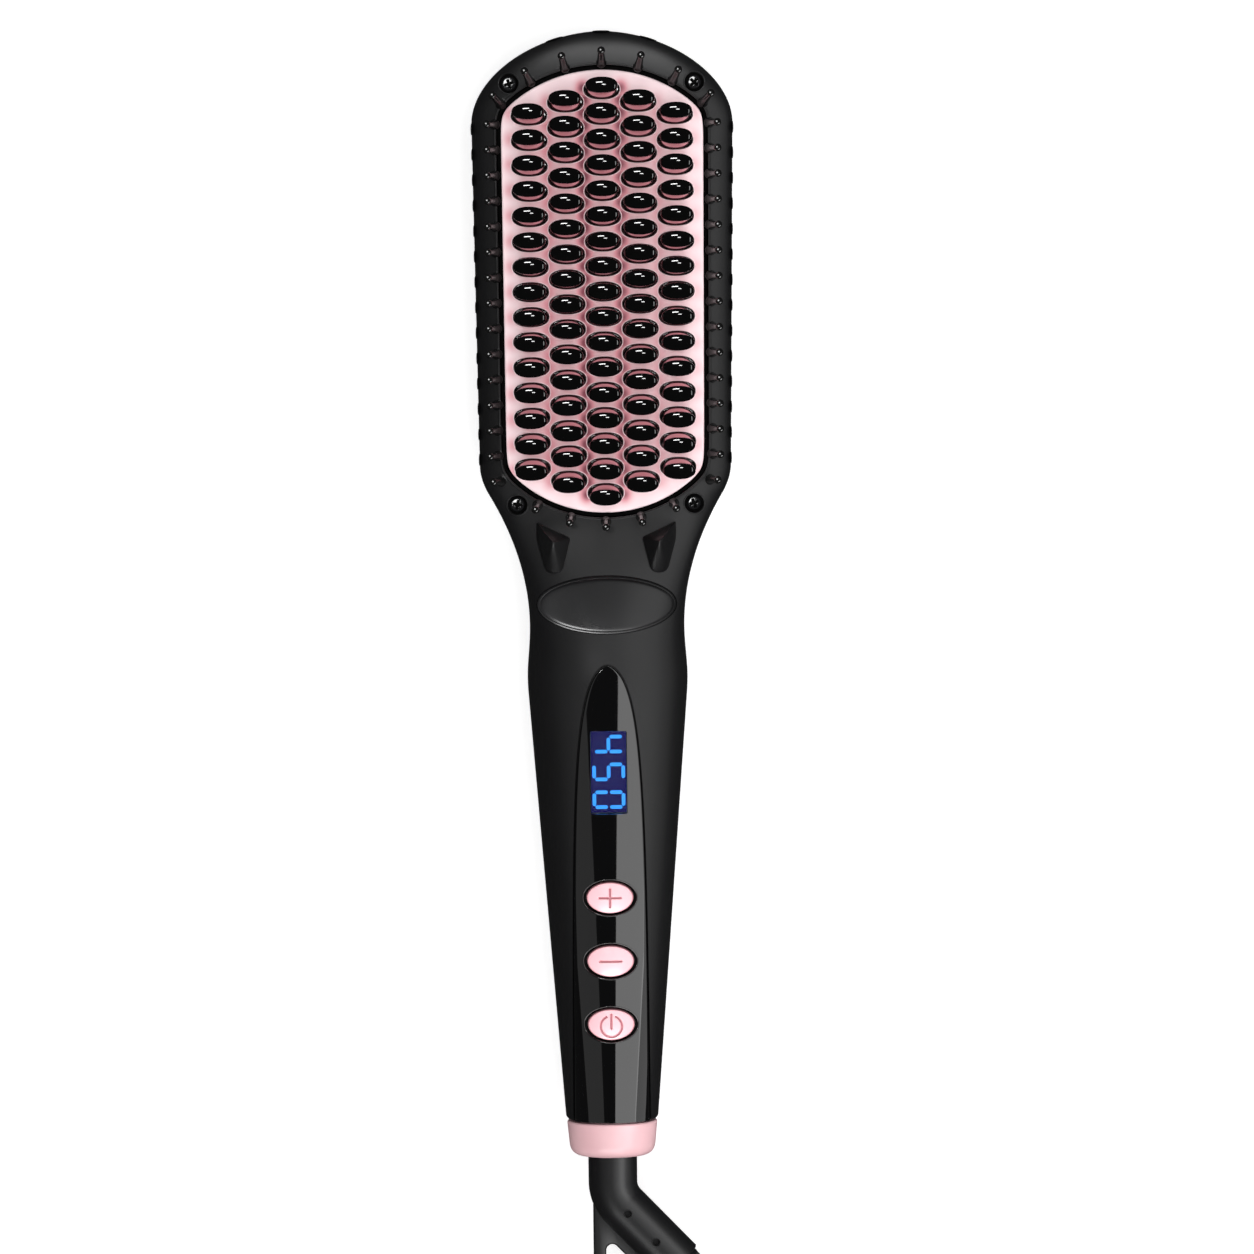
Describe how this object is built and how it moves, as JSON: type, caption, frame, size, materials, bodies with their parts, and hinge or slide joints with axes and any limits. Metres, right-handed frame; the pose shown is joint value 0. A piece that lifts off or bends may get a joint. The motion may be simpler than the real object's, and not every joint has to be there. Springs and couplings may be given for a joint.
{
  "type": "hair straightening brush",
  "caption": "Heated straightening brush: oval-toothed plate in a rounded head, pin-edged rim, grip with display and push buttons, swivel cord elbow.",
  "frame": {"origin": "under the middle of the heating plate, on the flat land of the back that the brush lies on", "axes": "+X across the head, +Y from the handle to the head's tip, +Z out of the heating plate"},
  "size_m": [0.0638, 0.3181, 0.0319],
  "materials": {
    "black_shell": "matte, fine moulded grain",
    "gloss_panel": "high gloss inlay",
    "badge": "satin, bevelled edge",
    "pink_collar": "satin rose paint",
    "pink_plate": "pearl rose ceramic coat",
    "tooth_black": "glossy heat-resistant caps",
    "seal": "matte silicone",
    "pin_black": "satin nylon",
    "screw_dark": "blackened steel",
    "screw_bright": "zinc plated",
    "ceramic": "cream ceramic heater",
    "mica": "mica sheet",
    "clamp_steel": "stamped steel",
    "insulation": "glass-fibre mat",
    "sensor": "glass-sealed sensor",
    "fuse_metal": "bare metal can",
    "wire_red": "silicone sleeve",
    "window": "clear smoked lens",
    "digit_blue": "lit blue bars",
    "display_body": "dark display body",
    "pink_button": "satin rose paint",
    "plunger_white": "white nylon",
    "switch_black": "switch body",
    "board_green": "solder mask",
    "part_grey": "moulded components",
    "swivel_black": "satin nylon",
    "guard_black": "flexible cord guard",
    "contact_brass": "contact brass",
    "clip_steel": "spring steel",
    "bush_white": "acetal bush"
  },
  "bodies": {
    "brush": {"front_shell": "black_shell", "rear_shell": "black_shell", "control_panel": "gloss_panel", "badge_pad": "badge", "end_collar": "pink_collar", "heating_plate": "pink_plate", "tooth_caps": "tooth_black", "plate_gasket": "seal", "edge_pins": "pin_black", "head_screws": "screw_dark", "handle_screws": "screw_dark", "heater_element": "ceramic", "mica_sheet": "mica", "heater_clamp": "clamp_steel", "clamp_screws": "screw_bright", "insulation_pad": "insulation", "heat_shield": "clamp_steel", "thermistor": "sensor", "thermal_fuse": "fuse_metal", "heater_leads": "wire_red", "display_window": "window", "display_digits": "digit_blue", "display_module": "display_body", "tact_switches": "switch_black", "control_pcb": "board_green", "pcb_parts": "part_grey", "pcb_screws": "screw_bright", "swivel_bush": "bush_white", "contact_block": "plunger_white", "contact_springs": "contact_brass", "mains_leads": "wire_red"},
    "plus_button": {"button_plus": "pink_button", "plunger_plus": "plunger_white"},
    "minus_button": {"button_minus": "pink_button", "plunger_minus": "plunger_white"},
    "power_button": {"button_power": "pink_button", "plunger_power": "plunger_white"},
    "cord_swivel": {"swivel_elbow": "swivel_black", "strain_relief": "guard_black", "slip_rings": "contact_brass", "retaining_clip": "clip_steel"}
  },
  "joints": [
    {"name": "plus_press", "type": "slide", "parent": "brush", "child": "plus_button", "axis": [0, 0.0342, -0.9994], "range_m": [0, 0.0006], "stiffness_N_per_m": 300, "springref_m": -0.001},
    {"name": "minus_press", "type": "slide", "parent": "brush", "child": "minus_button", "axis": [0, 0.0342, -0.9994], "range_m": [0, 0.0006], "stiffness_N_per_m": 300, "springref_m": -0.001},
    {"name": "power_press", "type": "slide", "parent": "brush", "child": "power_button", "axis": [0, 0.0342, -0.9994], "range_m": [0, 0.0006], "stiffness_N_per_m": 300, "springref_m": -0.001},
    {"name": "swivel_turn", "type": "hinge", "parent": "brush", "child": "cord_swivel", "pos_m": [0, -0.21, 0.015], "axis": [0, -1, 0], "continuous": true}
  ]
}
